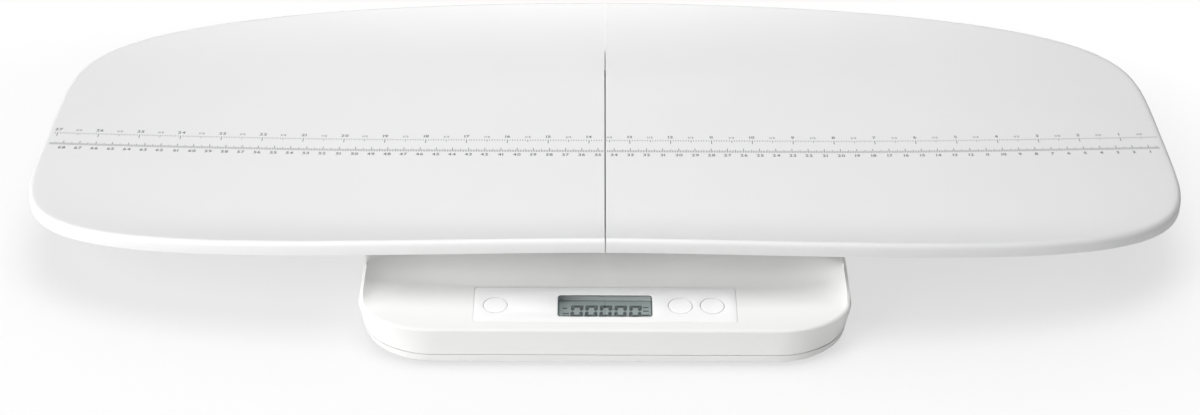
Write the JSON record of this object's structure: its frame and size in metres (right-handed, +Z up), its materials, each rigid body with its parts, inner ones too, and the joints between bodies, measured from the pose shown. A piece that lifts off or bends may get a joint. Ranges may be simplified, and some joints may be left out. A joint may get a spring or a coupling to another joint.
{
  "type": "digital baby weighing scale",
  "caption": "Low weighing scale with a long, shallow trough tray split across the middle, on a rounded base whose front ledge carries a display window and ring keys.",
  "frame": {"origin": "on the table, under the middle of the scale's overall box", "axes": "+X along the tray to the right of the person reading the display, +Y away from that person, +Z up"},
  "size_m": [0.694, 0.328, 0.068],
  "materials": {
    "tray_abs": "satin white ABS",
    "housing_abs": "satin white ABS",
    "housing_abs_lower": "fine-grained white ABS",
    "panel_film": "smooth white PET film over polycarbonate",
    "display_lens": "clear polycarbonate",
    "lcd_glass": "grey-green reflective display glass",
    "holder_abs": "moulded",
    "silicone_strip": "layered silicone",
    "board_green": "solder-masked glass fibre board",
    "chip_black": "epoxy",
    "switch_black": "moulded",
    "zinc_steel": "zinc plated",
    "socket_nylon": "natural nylon",
    "cable_grey": "soft PVC sheath",
    "cable_red": "soft PVC sheath",
    "gauge_amber": "polyimide foil",
    "battery_sleeve": "printed sleeve",
    "contact_nickel": "nickel plated",
    "pad_silicone": "silicone",
    "carrier_abs": "moulded",
    "cell_steel": "ground alloy steel",
    "foot_rubber": "moulded rubber",
    "key_abs": "satin",
    "plunger_grey": "moulded"
  },
  "bodies": {
    "base": {"upper_housing": "housing_abs", "lower_housing": "housing_abs_lower", "display_panel": "panel_film", "display_lens": "display_lens", "display_glass": "lcd_glass", "display_holder": "holder_abs", "contact_strip": "silicone_strip", "circuit_board": "board_green", "board_chips": "chip_black", "key_switches": "switch_black", "board_screws": "zinc_steel", "wire_sockets": "socket_nylon", "cell_cables": "cable_grey", "battery_cables": "cable_red", "housing_screws": "zinc_steel", "foot_carrier_fl": "carrier_abs", "foot_carrier_fr": "carrier_abs", "foot_carrier_rl": "carrier_abs", "foot_carrier_rr": "carrier_abs", "cell_plate_fl": "cell_steel", "cell_plate_fr": "cell_steel", "cell_plate_rl": "cell_steel", "cell_plate_rr": "cell_steel", "foot_pad_fl": "foot_rubber", "foot_pad_fr": "foot_rubber", "foot_pad_rl": "foot_rubber", "foot_pad_rr": "foot_rubber", "strain_gauges": "gauge_amber", "batteries": "battery_sleeve", "battery_springs": "contact_nickel", "battery_contacts": "contact_nickel", "platform_pads": "pad_silicone"},
    "battery_door": {"battery_door": "housing_abs_lower"},
    "key_left": {"key_left": "key_abs", "plunger_left": "plunger_grey"},
    "key_middle": {"key_middle": "key_abs", "plunger_middle": "plunger_grey"},
    "key_right": {"key_right": "key_abs", "plunger_right": "plunger_grey"},
    "tray_left": {"tray_left": "tray_abs"},
    "tray_right": {"tray_right": "tray_abs"}
  },
  "joints": [
    {"name": "key_left_press", "type": "slide", "parent": "base", "child": "key_left", "axis": [0, 0.1045, -0.9945], "range_m": [0, 0.0004], "stiffness_N_per_m": 3000, "springref_m": -0.0002},
    {"name": "key_middle_press", "type": "slide", "parent": "base", "child": "key_middle", "axis": [0, 0.1045, -0.9945], "range_m": [0, 0.0004], "stiffness_N_per_m": 3000, "springref_m": -0.0002},
    {"name": "key_right_press", "type": "slide", "parent": "base", "child": "key_right", "axis": [0, 0.1045, -0.9945], "range_m": [0, 0.0004], "stiffness_N_per_m": 3000, "springref_m": -0.0002},
    {"name": "tray_left_lift", "type": "slide", "parent": "base", "child": "tray_left", "axis": [0, 0, 1], "range_m": [0, 0.04]},
    {"name": "tray_right_lift", "type": "slide", "parent": "base", "child": "tray_right", "axis": [0, 0, 1], "range_m": [0, 0.04]},
    {"name": "battery_door_pull", "type": "slide", "parent": "base", "child": "battery_door", "axis": [0, 0, -1], "range_m": [0, 0.02]}
  ]
}
